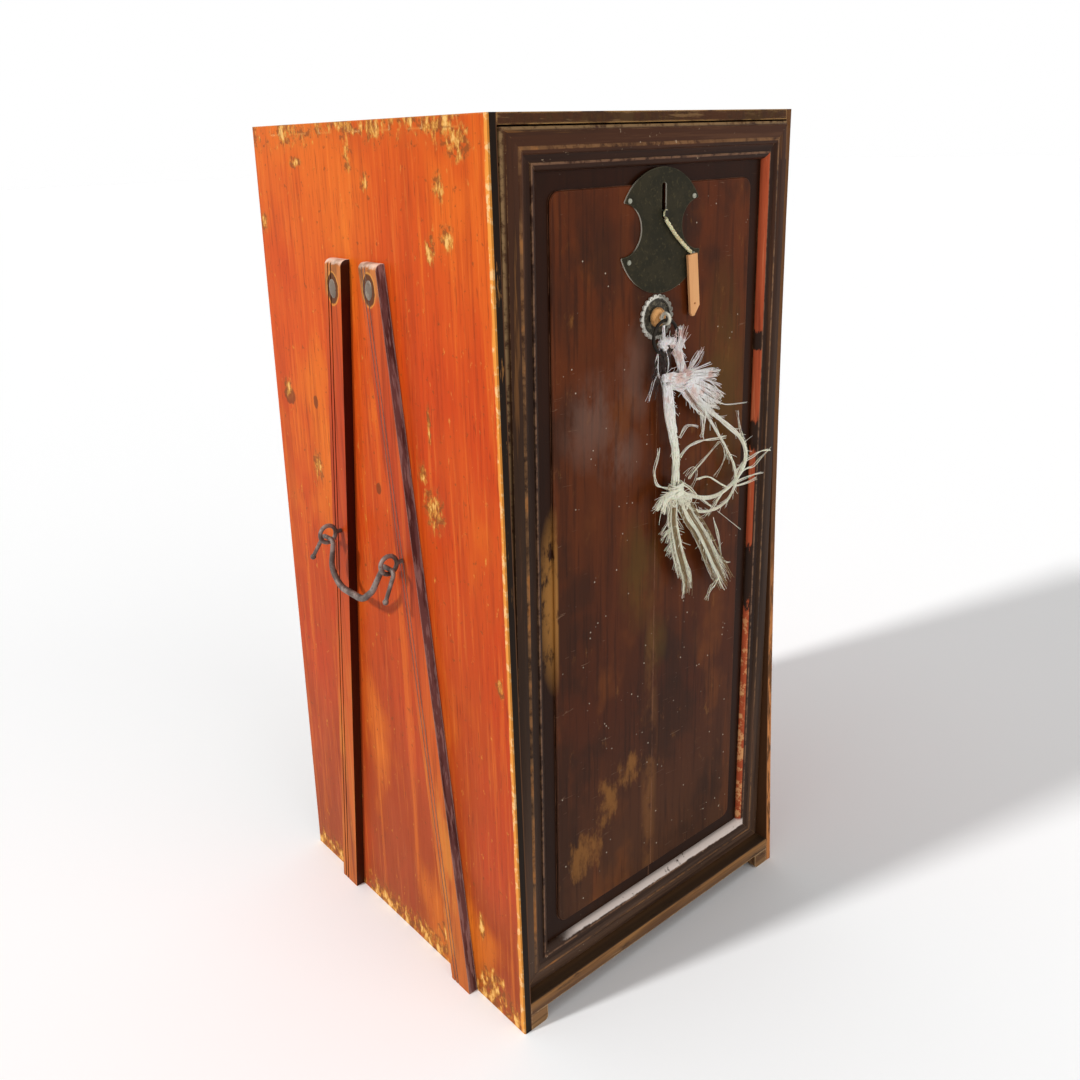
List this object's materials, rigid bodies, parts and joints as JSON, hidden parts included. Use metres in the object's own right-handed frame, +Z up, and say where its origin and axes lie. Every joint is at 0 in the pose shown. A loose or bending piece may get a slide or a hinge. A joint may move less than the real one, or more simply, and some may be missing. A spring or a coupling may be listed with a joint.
{
  "type": "kang cabinet",
  "caption": "Narrow worn wooden chest with a leaning lift-out door, cloud-shaped lock plate, rosette pull with frayed rope, a wooden tag on twine, and inclined side battens with drop handles",
  "frame": {"origin": "on the floor under the middle of the case", "axes": "+Z up, the door faces -Y, +X to the right seen from the front"},
  "size_m": [0.4784, 0.4333, 0.9],
  "materials": {
    "case_wood": "worn orange lacquer",
    "batten_wood": "worn orange lacquer",
    "worn_front_wood": "dark lacquer worn to bare wood",
    "inner_wood": "raw aged wood",
    "door_frame_lacquer": "dark lacquer, satin",
    "door_panel_lacquer": "reddish brown lacquer, satin",
    "plate_iron": "dark patina",
    "forged_iron": "greyish brown forged",
    "rosette_tin": "tarnished white metal",
    "dome_copper": "dull copper",
    "rope_fibre": "frayed fibre",
    "twine_fibre": "twisted fibre",
    "tag_wood": "pale bare wood"
  },
  "bodies": {
    "case": {"top_board": "case_wood", "bottom_board": "worn_front_wood", "lock_keeper": "inner_wood", "side_board_left": "case_wood", "side_board_right": "case_wood", "back_plank_left": "inner_wood", "back_plank_right": "inner_wood", "door_stop_left": "inner_wood", "door_stop_right": "inner_wood", "foot_front_left": "worn_front_wood", "foot_front_right": "worn_front_wood", "foot_rear_left": "worn_front_wood", "foot_rear_right": "worn_front_wood", "shelf_cleat_lower_left": "inner_wood", "shelf_cleat_lower_right": "inner_wood", "shelf_cleat_upper_left": "inner_wood", "shelf_cleat_upper_right": "inner_wood", "shelf_lower": "inner_wood", "shelf_upper": "inner_wood", "batten_left_front": "batten_wood", "batten_left_rear": "batten_wood", "batten_right_front": "batten_wood", "batten_right_rear": "batten_wood", "handle_eye_left_front": "forged_iron", "handle_eye_left_rear": "forged_iron", "handle_eye_right_front": "forged_iron", "handle_eye_right_rear": "forged_iron"},
    "door": {"door_rail_bottom": "door_frame_lacquer", "door_stile_right": "door_frame_lacquer", "door_rail_top": "door_frame_lacquer", "door_stile_left": "door_frame_lacquer", "door_panel_left": "door_panel_lacquer", "door_panel_right": "door_panel_lacquer", "lock_plate": "plate_iron", "lock_plate_nails": "plate_iron", "lock_cheek_left": "inner_wood", "lock_cheek_right": "inner_wood", "bolt_staple_lower": "forged_iron", "bolt_staple_upper": "forged_iron", "rosette_rim": "rosette_tin", "rosette_dome": "dome_copper", "ring_eye": "forged_iron"},
    "lock_bolt": {"lock_bolt": "forged_iron", "key_twine": "twine_fibre", "wooden_tag": "tag_wood"},
    "pull": {"pull_ring": "forged_iron", "rope_hitch": "rope_fibre"},
    "rope": {"rope_knot_upper": "rope_fibre", "rope_knot_lower": "rope_fibre", "rope_strap": "rope_fibre", "rope_loop": "rope_fibre", "rope_fan": "rope_fibre", "rope_tassel": "rope_fibre"},
    "handle_left": {"handle_left": "forged_iron"},
    "handle_right": {"handle_right": "forged_iron"}
  },
  "joints": [
    {"name": "door_tilt", "type": "hinge", "parent": "case", "child": "door", "pos_m": [0, -0.1953, 0.0307], "axis": [1, 0, 0], "range_deg": [-1.27, 88.73]},
    {"name": "bolt_lift", "type": "slide", "parent": "door", "child": "lock_bolt", "axis": [0, -0.0222, 0.9998], "range_m": [0, 0.02]},
    {"name": "ring_swing", "type": "hinge", "parent": "door", "child": "pull", "pos_m": [-0.002, -0.21809, 0.70696], "axis": [-1, 0, 0], "range_deg": [0, 110]},
    {"name": "rope_swing", "type": "hinge", "parent": "pull", "child": "rope", "pos_m": [-0.002, -0.21736, 0.67397], "axis": [-1, 0, 0], "range_deg": [-112, 2]},
    {"name": "left_handle_swing", "type": "hinge", "parent": "case", "child": "handle_left", "pos_m": [-0.2265, 0.0065, 0.4688], "axis": [0, 1, 0], "range_deg": [-8, 175]},
    {"name": "right_handle_swing", "type": "hinge", "parent": "case", "child": "handle_right", "pos_m": [0.2265, 0.0065, 0.4688], "axis": [0, -1, 0], "range_deg": [-8, 175]}
  ],
  "couplings": [
    {"joint": "rope_swing", "follows": "ring_swing", "ratio": -1}
  ]
}
